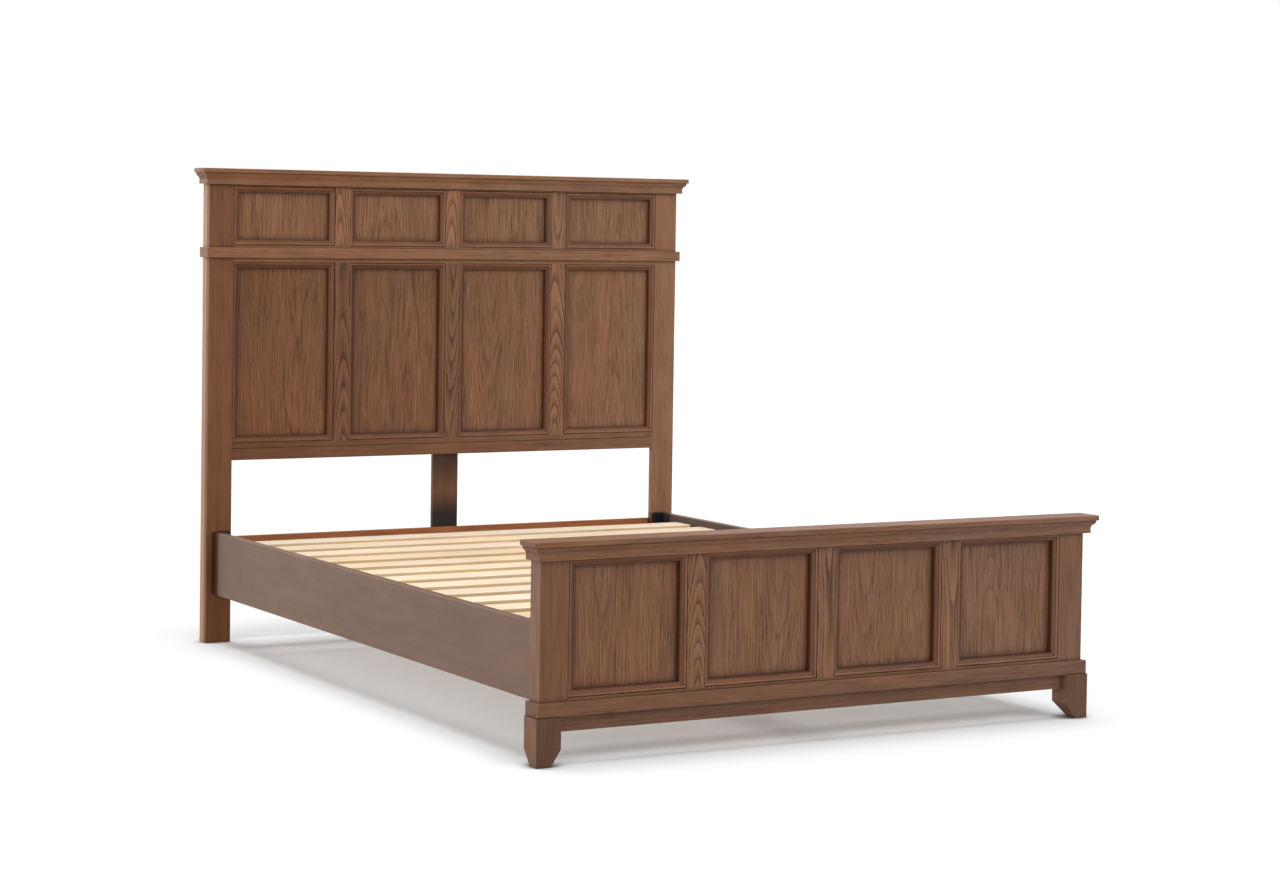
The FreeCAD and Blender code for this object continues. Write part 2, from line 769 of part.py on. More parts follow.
# ------------------------------------------------------------------- the bed
def bed():
    """Every node of the bed, by name."""
    pieces = {}
    pieces.update(headboard())
    pieces.update(footboard())

    rail = side_rail()
    pieces["side_rail_right"] = rail
    pieces["side_rail_left"] = mirrored(rail)

    holes = [screw_body(top, bolt_hole_room, screw_length + bolt_hole_room) for top in screw_places()]
    right_holes = [hole for hole in holes if hole.BoundBox.XMin > 0]
    cleat = slat_cleat(right_holes)
    pieces["slat_cleat_right"] = cleat
    pieces["slat_cleat_left"] = mirrored(cleat)
    pieces["slats"] = compound([slat(span) for span in slat_spans()]).cut(holes)
    pieces["slat_screws"] = compound([screw_body(top, 0, screw_length) for top in screw_places()])

    pieces["centre_beam"] = block(
        (-beam_width / 2, beam_width / 2), (foot_back, head_panel_front), (beam_bottom, slat_underside))
    glides = []
    for i, y in enumerate(support_places(), 1):
        pieces[f"support_leg_{i}"] = support_leg(y)
        glides.append(Part.makeCylinder(glide_diameter / 2, glide_thickness, Vector(0, y, 0)))
    pieces["support_leg_glides"] = compound(glides)

    bolts = []
    for end, name in (("head", "headboard_brackets"), ("foot", "footboard_brackets")):
        bracket = corner_bracket(end)
        pieces[name] = compound([bracket, mirrored(bracket)])
        for seat, along in bolt_points(end):
            one = bolt(seat, along)
            bolts.extend([one, mirrored(one)])
    pieces["bracket_bolts"] = compound(bolts)
    return pieces


os.makedirs("parts", exist_ok=True)
for node, shape in bed().items():
    shape.exportStep(f"parts/{node}.step")
    print(f"{node}: {len(shape.Solids)} solid(s), {shape.Volume / 1000:.1f} cm3, valid {shape.isValid()}")
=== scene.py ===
"""Looks of the panel bed: stained oak boards, pine slats, black steel brackets, pale studio."""
import math
import random

import bpy
from mathutils import Euler, Matrix, Vector


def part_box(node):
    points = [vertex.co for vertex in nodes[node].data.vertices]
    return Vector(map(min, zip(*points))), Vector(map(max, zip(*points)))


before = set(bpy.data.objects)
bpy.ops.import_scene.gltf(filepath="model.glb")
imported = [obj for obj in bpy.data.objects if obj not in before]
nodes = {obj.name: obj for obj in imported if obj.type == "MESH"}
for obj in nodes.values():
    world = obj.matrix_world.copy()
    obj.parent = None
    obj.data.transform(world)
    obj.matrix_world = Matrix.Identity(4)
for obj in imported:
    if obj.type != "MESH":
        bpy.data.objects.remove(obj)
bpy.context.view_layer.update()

# ------------------------------------------------------------------- camera
# Solved from the photograph's straight edges: metres, degrees, pixels.
IMAGE_WIDTH = 1280
IMAGE_HEIGHT = 882
CAMERA_PLACE = (-3.82603, -6.79270, 1.26276)
CAMERA_TURN = -29.5089       # about the vertical, from looking along +Y
CAMERA_DIP = 1.9445          # below the level
CAMERA_ROLL = 0.8252
FOCAL_PIXELS = 2783.07
CENTRE_PIXEL = (623.15, 322.85)
SENSOR_WIDTH = 36.0
CLIP_END = 100.0

# ------------------------------------------------------------------- studio
# Soft lamps: name, strength, how many degrees across, where the light comes from.
LAMPS = (
    ("overhead", 2.00, 34.0, (0.0, -0.02, 1.0)),
    ("key", 0.75, 60.0, (0.35, -0.80, 0.50)),
    ("left", 1.45, 50.0, (-0.74, -0.64, 0.12)),
    ("back", 1.40, 60.0, (-0.50, 0.85, 0.08)),
)
AMBIENT = 0.47               # even light from all round
FLOOR_HALF = 30.0
FLOOR_SEEN = (0.82, 0.832, 0.850)
FLOOR_BOUNCE = (0.58, 0.58, 0.58)
CONTACT_REACH = 0.05         # painted contact shadow: the soft dark line round each foot
CONTACT_OPEN = (0.85, 0.40)  # how open the floor is where that line starts, and where it is darkest
CONTACT_SHADE = 0.35

# ------------------------------------------------------------------- colours
# Dark, middle and light tone of each wood; the post sides' oak is paler, as painted light and
# sheen.
OAK = ((0.064, 0.025, 0.011), (0.180, 0.073, 0.031), (0.256, 0.117, 0.056))
LIT_SIDE_OAK = ((0.250, 0.115, 0.058), (0.372, 0.187, 0.097), (0.428, 0.227, 0.122))
RAIL_OAK = ((0.100, 0.050, 0.030), (0.154, 0.082, 0.052), (0.182, 0.102, 0.067))
CROSS_OAK = ((0.110, 0.030, 0.010), (0.300, 0.095, 0.030), (0.380, 0.140, 0.050))
LEG_OAK = ((0.040, 0.017, 0.008), (0.125, 0.050, 0.022), (0.175, 0.076, 0.034))
PINE = ((0.550, 0.372, 0.202), (0.765, 0.632, 0.460), (0.830, 0.735, 0.592))
KNOT = (0.230, 0.110, 0.045)
CORNER_GLAZE_AND_SHADE = (0.024, 0.009, 0.004)        # glaze and painted shade in corners
BLACK_STEEL = (0.005, 0.005, 0.006)
ZINC = (0.560, 0.560, 0.580)
GLIDE_BLACK = (0.020, 0.020, 0.020)

# Tints multiply a colour, drifting from the bed's left to its right on each row of boards.
# The drift is partly uneven stain and partly painted light and sheen, paler on the upper row.
UPPER_TINTS = ((1.08, 1.07, 1.00), (1.14, 1.31, 1.52))
LOWER_TINTS = ((0.76, 0.65, 0.52), (1.14, 1.24, 1.34))
FOOTBOARD_TINTS = ((0.91, 0.90, 0.90), (0.96, 1.09, 1.33))
TINT_REACH = 0.80            # from the middle to where the tints are reached
UPPER_WORDS = ("upper", "crown", "belt", "top_rail", "middle_rail")
# Boards darker than their neighbours; on the footboard's feet this is painted shade.
BOARD_SHADES = {
    "headboard_lower_muntin_1": 0.84, "headboard_lower_muntin_2": 0.84,
    "headboard_lower_panel_2": 0.92, "headboard_bottom_rail": 0.84,
    "footboard_post_left": 0.82, "footboard_post_right": 0.88,
    "footboard_crown_moulding": 0.92, "footboard_belt": 0.80, "footboard_apron": 0.75,
    "footboard_foot_left": 0.80, "footboard_foot_right": 0.94,
}
# Painted shade on the footboard's feet; FOOT_SIDE_TINT lightens their sides again.
FOOT_SHADE = 0.64
GREYER_STAIN = (0.93, 0.97, 1.03)
WARMER_STAIN = (1.07, 1.03, 0.96)
# Painted light and sheen on the faces of posts and feet that look along the bed's width.
POST_SIDE_TINT = (1.35, 1.55, 1.80)
FOOT_SIDE_TINT = (1.80, 1.90, 2.00)
SIDEWAYS = (0.75, 0.95)      # how far a face looks along X where the side's tint starts and is full
# Wear and painted highlight on rubbed edges.
RUBBED_HIGHLIGHT_TINT = (1.80, 1.90, 2.00)

# ------------------------------------------------------------ painted shade, light and stains
# Spans run from where a stain or painted shade starts to where it is full, in metres.
HIDDEN_OPEN = (0.92, 0.35)   # how open a corner is where the glaze and painted shade start, and where they are full
PROUD_OPEN = (0.78, 0.92)    # and how open an edge is, to be rubbed pale with a painted highlight
EDGE_RADIUS = 0.0028         # how far the rubbing and painted highlight reach round an edge
EDGE_TURN = (0.01, 0.15)
# Panel moulding, glaze and painted shade in cove and toe: span in from its outer edge, strength,
# tint.
MOULDING_STAINS_AND_SHADE = (
    ((0.0065, 0.0085), 1.00, (0.74, 0.62, 0.53)),    # glaze and painted shade in the cove
    ((0.0030, 0.0012), 0.85, (0.30, 0.22, 0.18)),    # joint with the frame
    ((0.0125, 0.0165), 0.80, (0.34, 0.24, 0.20)),    # glaze and painted shade at the toe on the panel
)
# Painted shade on a side rail: spans before its headboard end, and out from the inner face.
RAIL_NEAR_SPAN = (-0.060, -0.030)
RAIL_NEAR_TINT = (0.84, 0.82, 0.84)
RAIL_END_SPAN = (-0.030, -0.020)
RAIL_END_TINT = (0.30, 0.17, 0.14)
RAIL_INSIDE_SPAN = (0.0008, 0.0003)
RAIL_INSIDE_TINT = (0.42, 0.36, 0.33)
# Painted shadow on the headboard's post beside the rail: spans out from the rail's face, lower edge
# and upper edge.
BESIDE_OUT_SPAN = (0.008, 0.004)
BESIDE_UNDER_SPAN = (-0.004, 0.002)
BESIDE_OVER_SPAN = (0.003, -0.002)
BESIDE_SHADOW_TINT = (0.44, 0.29, 0.23)
# Painted shade on the centre leg: span below its top, and heights above the floor.
LEG_TOP_SPAN = (-0.16, -0.08)
LEG_TOP_SHADE = 0.45
LEG_LOW_SPAN = (0.36, 0.43)
LEG_LOW_SHADE = 0.10

# --------------------------------------------------------------------- slats
SLAT_COUNT = 13
SLAT_WIDTH = 0.090
SLAT_SEED = 3.0
SLAT_TINTS = ((0.97, 0.91, 0.82), (1.00, 0.98, 0.95), (1.05, 1.08, 1.12))
FAR_SLAT_TINT = (0.90, 0.87, 0.86)         # beside the headboard
# Painted shade on the slats' sides, warmer and darker below their tops.
SLAT_EDGE_SPAN = (-0.0010, -0.0022)        # below the slat's top
SLAT_EDGE_TINT = (0.98, 0.84, 0.66)
KNOT_CELLS = (3.2, 12.0, 1.0)              # places for a knot, to the metre
KNOT_SPAN = (0.07, 0.03)                   # edge and core of a knot, in cells
KNOT_RARITY = 0.72
KNOT_STRENGTH = 0.75

# --------------------------------------------------------------------- grain
COLUMN_COUNT = 4             # panels in a row
# Cut of a board: where its pith lies (across the face, behind the face), how the pith drifts
# (slope along the board, wander in metres), ring width, strength of rings, fibres and bands.
CUTS = {
    "cathedral": dict(across=0.007, depth=0.032, slope=0.055, wander=0.070, ring=0.0046,
                      lines=0.9, fibres=0.70, bands=0.5),
    "panel": dict(across=0.05, depth=0.060, slope=0.038, wander=0.07, ring=0.0062,
                  lines=0.28, fibres=1.15, bands=0.45),
    "straight": dict(across=0.40, depth=0.080, slope=0.006, wander=0.02, ring=0.0060,
                     lines=0.10, fibres=0.60, bands=0.5),
    "long": dict(across=0.012, depth=0.060, slope=0.003, wander=0.010, ring=0.0048,
                 lines=0.14, fibres=0.75, bands=0.35),
    "calm": dict(across=0.05, depth=0.110, slope=0.004, wander=0.03, ring=0.0090,
                 lines=0.05, fibres=0.22, bands=0.45),
    "pine": dict(across=0.02, depth=0.070, slope=0.008, wander=0.03, ring=0.0080,
                 lines=0.30, fibres=0.35, bands=0.6),
}
CUT_INPUTS = ("Across", "Depth", "Slope", "Wander", "Ring", "Lines", "Fibres", "Bands")
ACROSS_CHANCE = (0.6, 1.4)   # by how much boards of one cut differ
DEPTH_CHANCE = (0.9, 1.15)
SLOPE_CHANCE = (0.8, 1.2)
SEED_REACH = 40.0
FIRST_SEED = 11

# Noises, with so many features to the metre across the face, into it and along the grain.
DRIFT = dict(scales=(0.8, 0.8, 1.3), detail=1.0)
SWAY = dict(scales=(2.5, 2.5, 3.6), detail=2.0)
FIBRE = dict(scales=(380.0, 380.0, 9.0), detail=4.0, roughness=0.68)
PORE = dict(scales=(420.0, 420.0, 24.0), detail=3.0, roughness=0.65)
BAND = dict(scales=(34.0, 34.0, 1.6), detail=3.0)
BLOTCH = dict(scales=(26.0, 26.0, 9.0), detail=3.0)
STAIN = dict(scales=(7.0, 7.0, 3.0), detail=3.0)
SPECKLE = dict(scales=(900.0, 900.0, 900.0))
CLOUD = dict(scales=(25.0, 25.0, 25.0))
SWAY_PLACE = (9.0, 3.0, 5.0)     # keeps the sway apart from the drift
PORE_SPAN = (0.54, 0.70)
STAIN_SPAN = (0.32, 0.68)

# How much each part of the grain counts.
SWAY_SHARE = 0.45            # of the cut's wander
RING_RAGGED = 0.45           # in ring widths
EARLY_MEAN = 0.33
RING_CHANCE = 0.30
RING_WEIGHT = 0.85
FIBRE_WEIGHT = 1.9
BLOTCH_WEIGHT = 0.55
PORE_WEIGHT = -0.55
MIDDLE_TONE = 0.59

WOOD_SPECULAR = 0.30
METAL_SPECULAR = 0.25
CLOUD_SPAN = (0.3, 0.7)
CLOUD_SHADES = (0.85, 1.15)
SPECKLE_SPAN = (0.2, 0.8)
SPECKLE_ROUGHNESS = (-0.06, 0.10)    # added to the metal's own
OAK_GLOSS = 0.45             # roughness of smooth wood
PINE_GLOSS = 0.60
ROUGHER_DARK = 0.16          # added to it in dark pores
SMOOTHER_LIGHT = -0.04       # and in pale late wood


# ------------------------------------------------------------- node helpers
class Graph:
    """Makes and links the nodes of one material or group."""

    def __init__(self, tree):
        self.tree = tree

    def add(self, kind, **settings):
        """New node of the kind, with its settings."""
        node = self.tree.nodes.new(kind)
        for name, value in settings.items():
            setattr(node, name, value)
        return node

    def feed(self, socket, value):
        """Link a socket to the value, or set it."""
        if isinstance(value, bpy.types.NodeSocket):
            self.tree.links.new(value, socket)
        else:
            socket.default_value = value

    def math(self, operation, a, b=0.0, clamp=False):
        """Result of a Math node."""
        node = self.add("ShaderNodeMath", operation=operation, use_clamp=clamp)
        self.feed(node.inputs[0], a)
        self.feed(node.inputs[1], b)
        return node.outputs[0]

    def total(self, *values):
        """Sum of the values."""
        result = values[0]
        for value in values[1:]:
            result = self.math("ADD", result, value)
        return result

    def product(self, *values):
        """Product of the values."""
        result = values[0]
        for value in values[1:]:
            result = self.math("MULTIPLY", result, value)
        return result

    def swing(self, value, amount):
        """Value, which runs from 0 to 1, spread over amount with its middle at 0."""
        return self.math("MULTIPLY", self.math("SUBTRACT", value, 0.5), amount)

    def vector(self, operation, a, b):
        """Result of a Vector Math node."""
        node = self.add("ShaderNodeVectorMath", operation=operation)
        self.feed(node.inputs[0], a)
        self.feed(node.inputs[1], b)
        return node.outputs["Value" if operation == "DOT_PRODUCT" else "Vector"]

    def split(self, vector):
        """The vector's x, y and z."""
        node = self.add("ShaderNodeSeparateXYZ")
        self.feed(node.inputs[0], vector)
        return node.outputs

    def join(self, x, y, z):
        """Vector of x, y and z."""
        node = self.add("ShaderNodeCombineXYZ")
        for socket, value in zip(node.inputs, (x, y, z)):
            self.feed(socket, value)
        return node.outputs[0]

    def noise(self, vector, scales, detail=2.0, roughness=0.5):
        """Noise with so many features to the metre along each axis."""
        node = self.add("ShaderNodeTexNoise")
        self.feed(node.inputs["Vector"], self.vector("MULTIPLY", vector, scales))
        node.inputs["Scale"].default_value = 1.0
        node.inputs["Detail"].default_value = detail
        node.inputs["Roughness"].default_value = roughness
        return node.outputs["Fac"]

    def chance(self, number):
        """Even chance from 0 to 1, the same for the same number."""
        node = self.add("ShaderNodeTexWhiteNoise", noise_dimensions="1D")
        self.feed(node.inputs["W"], number)
        return node.outputs["Value"]

    def stretch(self, value, low, high, to_low=0.0, to_high=1.0):
        """Value, mapped from low and high to to_low and to_high, and held between these."""
        node = self.add("ShaderNodeMapRange")
        self.feed(node.inputs["Value"], value)
        limits = ("From Min", low), ("From Max", high), ("To Min", to_low), ("To Max", to_high)
        for name, limit in limits:
            self.feed(node.inputs[name], limit)
        return node.outputs[0]

    def span(self, value, start, from_start):
        """0 to 1 as the value crosses a span that is measured from a start."""
        return self.stretch(value, start + from_start[0], start + from_start[1])

    def ramp(self, value, colours):
        """Evenly spaced colours from 0 to 1."""
        node = self.add("ShaderNodeValToRGB")
        self.feed(node.inputs[0], value)
        elements = node.color_ramp.elements
        while len(elements) < len(colours):
            elements.new(0.5)
        for index, colour in enumerate(colours):
            elements[index].position = index / (len(colours) - 1)
            elements[index].color = (*colour, 1.0)
        return node.outputs[0]

    def blend(self, amount, a, b, kind="MIX"):
        """Colour a where the amount is 0, and b, or a blended with b, where it is 1."""
        node = self.add("ShaderNodeMix", data_type="RGBA", blend_type=kind)
        self.feed(node.inputs[0], amount)
        for socket, value in ((node.inputs[6], a), (node.inputs[7], b)):
            if not isinstance(value, bpy.types.NodeSocket) and len(value) == 3:
                value = (*value, 1.0)
            self.feed(socket, value)
        return node.outputs[2]

    def tint(self, amount, colour, by):
        """Colour multiplied by a tint, as far as the amount says."""
        return self.blend(amount, colour, by, "MULTIPLY")

    def shade(self, colour, number):
        """Colour multiplied by a number."""
        return self.tint(1.0, colour, self.join(number, number, number))

    def choose(self, test, a, b):
        """Vector a where the test is 0, and b where it is 1."""
        node = self.add("ShaderNodeMix", data_type="VECTOR")
        self.feed(node.inputs[0], test)
        self.feed(node.inputs[4], a)
        self.feed(node.inputs[5], b)
        return node.outputs[1]

    def openness(self, reach):
        """1 on open surfaces, down to 0 deep in a corner, looking as far as reach."""
        node = self.add("ShaderNodeAmbientOcclusion", samples=8)
        node.inputs["Distance"].default_value = reach
        return node.outputs["AO"]

    def bump(self, height, strength, distance):
        """Normal that follows the height."""
        node = self.add("ShaderNodeBump")
        node.inputs["Strength"].default_value = strength
        node.inputs["Distance"].default_value = distance
        self.feed(node.inputs["Height"], height)
        return node.outputs[0]


def new_material(name, surface_kind):
    """Material with one surface shader: the material, its graph and the shader."""
    material = bpy.data.materials.new(name)
    material.use_nodes = True
    material.node_tree.nodes.clear()
    graph = Graph(material.node_tree)
    shader = graph.add(surface_kind)
    output = graph.add("ShaderNodeOutputMaterial")
    graph.feed(output.inputs["Surface"], shader.outputs[0])
    return material, graph, shader


# ---------------------------------------------------------------- wood grain
def make_grain_group():
    """Grain of one board. Place is in metres with the grain along Z, Seed picks fresh wood.

    Tone runs from 0 in the dark, open-pored start of a ring to 1 in its pale late wood.
    Height is for the bump.
    """
    tree = bpy.data.node_groups.new("board_grain", "ShaderNodeTree")
    face = tree.interface
    for name in ("Place", "Seed"):
        face.new_socket(name, in_out="INPUT", socket_type="NodeSocketVector")
    for name in CUT_INPUTS:
        face.new_socket(name, in_out="INPUT", socket_type="NodeSocketFloat")
    for name in ("Tone", "Height"):
        face.new_socket(name, in_out="OUTPUT", socket_type="NodeSocketFloat")
    g = Graph(tree)
    given = g.add("NodeGroupInput").outputs
    x, y, z = g.split(given["Place"])
    fresh = g.vector("ADD", given["Place"], given["Seed"])

    # Rings are round the pith, which drifts along the board.
    drift = g.noise(fresh, **DRIFT)
    sway = g.noise(g.vector("ADD", fresh, SWAY_PLACE), **SWAY)
    fibre = g.noise(fresh, **FIBRE)
    across = g.total(x, g.product(given["Across"], -1.0),
                     g.swing(sway, g.product(given["Wander"], SWAY_SHARE)))
    behind = g.total(given["Depth"], g.product(given["Slope"], z),
                     g.swing(drift, given["Wander"]), g.product(y, -1.0))
    radius = g.math("SQRT", g.total(g.product(across, across), g.product(behind, behind)))
    rings = g.total(g.math("DIVIDE", radius, given["Ring"]), g.swing(fibre, RING_RAGGED))
    early = g.math("POWER", g.math("SUBTRACT", 1.0, g.math("FRACT", rings)), 2.0)
    ring_chance = g.swing(g.chance(g.math("FLOOR", rings)), RING_CHANCE)
    ring_tone = g.total(EARLY_MEAN, g.product(early, -1.0), ring_chance)

    # Pores are short dark dashes, closest in the early wood.
    dashes = g.stretch(g.noise(fresh, **PORE), *PORE_SPAN)
    pore = g.product(dashes, g.total(g.product(early, 0.5), 0.5))

    tone = g.total(MIDDLE_TONE,
                   g.product(ring_tone, given["Lines"], RING_WEIGHT),
                   g.product(g.swing(fibre, FIBRE_WEIGHT), given["Fibres"]),
                   g.product(g.swing(g.noise(fresh, **BAND), 1.0), given["Bands"]),
                   g.swing(g.noise(fresh, **BLOTCH), BLOTCH_WEIGHT),
                   g.product(pore, given["Fibres"], PORE_WEIGHT))
    tone = g.math("ADD", tone, 0.0, clamp=True)
    height = g.math("SUBTRACT", g.product(tone, 0.5), pore)

    out = g.add("NodeGroupOutput")
    g.feed(out.inputs["Tone"], tone)
    g.feed(out.inputs["Height"], height)
    return tree


GRAIN_GROUP = make_grain_group()


def turned(g, place, axes):
    """The place with its axes in a new order: across the board's face, into it, along the grain."""
    parts = dict(zip("xyz", g.split(place)))
    return g.join(*(parts[axis] for axis in axes))


# ------------------------------------------------------------- painted shade, light and stains
def moulding_places(g, place, name, muntin):
    """How far in from its panel moulding's outer edge a place is, to the side and to the end."""
    low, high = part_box(name)
    muntin_low, muntin_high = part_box(muntin)
    gap = muntin_high[0] - muntin_low[0]
    pitch = (high[0] - low[0] + gap) / COLUMN_COUNT
    x, y, z = g.split(place)
    column = g.math("DIVIDE", g.math("SUBTRACT", x, low[0]), pitch)
    inside = g.product(g.math("FRACT", column), pitch)
    to_side = g.math("MINIMUM", inside, g.math("SUBTRACT", pitch - gap, inside))
    to_end = g.math("MINIMUM", g.math("SUBTRACT", z, low[2]), g.math("SUBTRACT", high[2], z))
    return to_side, to_end


def moulding_stain_and_shade(g, colour, inward):
    """Dark in a panel moulding's joint, with glaze and painted shade in its cove and toe, and pale
    on its bead.
    """
    for (start, full), strength, tint in MOULDING_STAINS_AND_SHADE:
        colour = g.tint(g.stretch(inward, start, full, 0.0, strength), colour, tint)
    return colour


def return_direction(g, place, name):
    """1 on the pieces that turn the corner along Y, 0 along the front, parted at the mitres."""
    low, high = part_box(name)
    x, y, z = g.split(place)
    to_side = g.math("SUBTRACT", high[0], g.math("ABSOLUTE", x))
    return g.math("LESS_THAN", to_side, g.math("SUBTRACT", y, low[1]))


def glaze_shade_and_edges(g, colour, glaze, reach, worn):
    """Glaze and painted shade in corners, and edges rubbed pale with a painted highlight."""
    openness = g.openness(reach)
    glazed_and_shaded = g.stretch(openness, *HIDDEN_OPEN)
    colour = g.blend(g.math("MULTIPLY", glazed_and_shaded, glaze, clamp=True), colour, CORNER_GLAZE_AND_SHADE)
    if not worn:
        return colour
    rounded = g.add("ShaderNodeBevel", samples=4)
    rounded.inputs["Radius"].default_value = EDGE_RADIUS
    flat = g.add("ShaderNodeNewGeometry").outputs["Normal"]
    turn = g.math("SUBTRACT", 1.0, g.vector("DOT_PRODUCT", rounded.outputs[0], flat))
    proud = g.stretch(openness, *PROUD_OPEN)
    return g.tint(g.product(g.stretch(turn, *EDGE_TURN), worn, proud), colour, RUBBED_HIGHLIGHT_TINT)


def slat_tones(g, colour, place):
    """Each slat has its own tone, darker towards the headboard, painted shade on its sides, and a
    few small knots.
    """
    low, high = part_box("slats")
    pitch = (high[1] - low[1] - SLAT_WIDTH) / (SLAT_COUNT - 1)
    x, y, z = g.split(place)
    from_first = g.math("SUBTRACT", y, low[1] - (pitch - SLAT_WIDTH) / 2)
    index = g.math("FLOOR", g.math("DIVIDE", from_first, pitch))
    colour = g.tint(1.0, colour, g.ramp(g.chance(g.total(index, SLAT_SEED)), SLAT_TINTS))
    colour = g.tint(g.stretch(y, 0.0, high[1]), colour, FAR_SLAT_TINT)
    colour = g.tint(g.span(z, high[2], SLAT_EDGE_SPAN), colour, SLAT_EDGE_TINT)
    cell = g.add("ShaderNodeTexVoronoi")
    g.feed(cell.inputs["Vector"], g.vector("MULTIPLY", place, KNOT_CELLS))
    cell.inputs["Scale"].default_value = 1.0
    knot = g.stretch(cell.outputs["Distance"], *KNOT_SPAN)
    rare = g.math("GREATER_THAN", g.split(cell.outputs["Color"])[0], KNOT_RARITY)
    return g.blend(g.product(knot, rare, KNOT_STRENGTH), colour, KNOT)


def leg_painted_shade(g, colour, place):
    """Painted shade makes the centre leg nearly black at both ends."""
    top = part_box("headboard_centre_leg")[1][2]
    z = g.split(place)[2]
    upper = g.stretch(z, top + LEG_TOP_SPAN[0], top + LEG_TOP_SPAN[1], 1.0, LEG_TOP_SHADE)
    lower = g.stretch(z, *LEG_LOW_SPAN, LEG_LOW_SHADE, 1.0)
    return g.shade(colour, g.product(upper, lower))


def rail_painted_shade(g, colour, place):
    """Painted shade on a side rail: darker at its headboard end, beside the post, and on its inner
    face.
    """
    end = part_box("side_rail_left")[1][1]
    inner_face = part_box("side_rail_right")[0][0]
    x, y, z = g.split(place)
    colour = g.tint(g.span(y, end, RAIL_NEAR_SPAN), colour, RAIL_NEAR_TINT)
    colour = g.tint(g.span(y, end, RAIL_END_SPAN), colour, RAIL_END_TINT)
    inside = g.span(g.math("ABSOLUTE", x), inner_face, RAIL_INSIDE_SPAN)
    return g.tint(inside, colour, RAIL_INSIDE_TINT)


def painted_shadow_beside_rail(g, colour, place):
    """Painted shadow on the headboard's post along the side rail's end."""
    low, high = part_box("side_rail_right")
    x, y, z = g.split(place)
    across = g.span(g.math("ABSOLUTE", x), high[0], BESIDE_OUT_SPAN)
    above = g.span(z, low[2], BESIDE_UNDER_SPAN)
    below = g.span(z, high[2], BESIDE_OVER_SPAN)
    return g.tint(g.product(across, above, below), colour, BESIDE_SHADOW_TINT)


def painted_side_light(tint):
    """Painted light and sheen: a post or foot is paler on the faces that look along the bed's
    width.
    """
    def lit_sides(g, colour, place):
        facing = g.split(g.add("ShaderNodeNewGeometry").outputs["True Normal"])[0]
        return g.tint(g.stretch(g.math("ABSOLUTE", facing), *SIDEWAYS), colour, tint)
    return lit_sides


# ----------------------------------------------------------------- materials
def wood(name, seed, colours, cut, axes="xyz", tints=None, shade=1.0, glaze=0.0, reach=0.014,
         worn=0.0, gloss=OAK_GLOSS, centred=True, other_axes=None, muntin=None, extra=None):
    """One board's material: rings, pores, blotchy stain, glaze and painted shade in corners, and
    edges rubbed pale with a painted highlight.

    axes says which of the bed's axes run across the board's face, into it and along its grain,
    and other_axes the same for the pieces of a mitred frame that turn the corner. muntin names a
    muntin between two panels of the mouldings' row. extra adds painted shade, light or tones of its
    own.
    """
    chance = random.Random(seed)
    material, g, shader = new_material(name, "ShaderNodeBsdfPrincipled")
    place = g.add("ShaderNodeTexCoord").outputs["Object"]
    low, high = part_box(name)
    middle = [(a + b) / 2 if centred else 0.0 for a, b in zip(low, high)]
    local = g.vector("SUBTRACT", place, middle)
    board = turned(g, local, axes)
    if muntin:
        to_side, to_end = moulding_places(g, place, name, muntin)
        upright = g.math("LESS_THAN", to_side, to_end)
        board = g.choose(upright, board, turned(g, local, other_axes))
    elif other_axes:
        board = g.choose(return_direction(g, place, name), board, turned(g, local, other_axes))

    values = dict(CUTS[cut])
    values["across"] *= chance.choice((-1.0, 1.0)) * chance.uniform(*ACROSS_CHANCE)
    values["depth"] *= chance.uniform(*DEPTH_CHANCE)
    values["slope"] *= chance.choice((-1.0, 1.0)) * chance.uniform(*SLOPE_CHANCE)
    seed_place = [chance.uniform(-SEED_REACH, SEED_REACH) for axis in range(3)]
    grain = g.add("ShaderNodeGroup", node_tree=GRAIN_GROUP)
    g.feed(grain.inputs["Place"], board)
    g.feed(grain.inputs["Seed"], seed_place)
    for label in CUT_INPUTS:
        g.feed(grain.inputs[label], values[label.lower()])
    tone, height = grain.outputs["Tone"], grain.outputs["Height"]
    colour = g.ramp(tone, colours)

    # The stain takes unevenly: warmer and darker in some places, greyer in others.
    fresh = g.vector("ADD", board, seed_place)
    warm = g.stretch(g.noise(fresh, **STAIN), *STAIN_SPAN)
    colour = g.tint(1.0, colour, g.blend(warm, GREYER_STAIN, WARMER_STAIN))
    # Drift from left to right: partly uneven stain, partly painted light and sheen.
    if tints:
        side = g.stretch(g.split(place)[0], -TINT_REACH, TINT_REACH)
        left, right = ([shade * part for part in tint] for tint in tints)
        colour = g.tint(1.0, colour, g.blend(side, left, right))
    if extra:
        colour = extra(g, colour, place)
    # Dark joint, and glaze and painted shade in the moulding's cove and toe.
    if muntin:
        colour = moulding_stain_and_shade(g, colour, g.math("MINIMUM", to_side, to_end))
    # Glaze and painted shade in corners, and a painted highlight on rubbed edges.
    if glaze or worn:
        colour = glaze_shade_and_edges(g, colour, glaze, reach, worn)
    g.feed(shader.inputs["Base Color"], colour)
    shader.inputs["Specular IOR Level"].default_value = WOOD_SPECULAR
    roughness = g.stretch(tone, 0.0, 1.0, gloss + ROUGHER_DARK, gloss + SMOOTHER_LIGHT)
    g.feed(shader.inputs["Roughness"], roughness)
    g.feed(shader.inputs["Normal"], g.bump(height, strength=0.25, distance=0.0005))
    return material


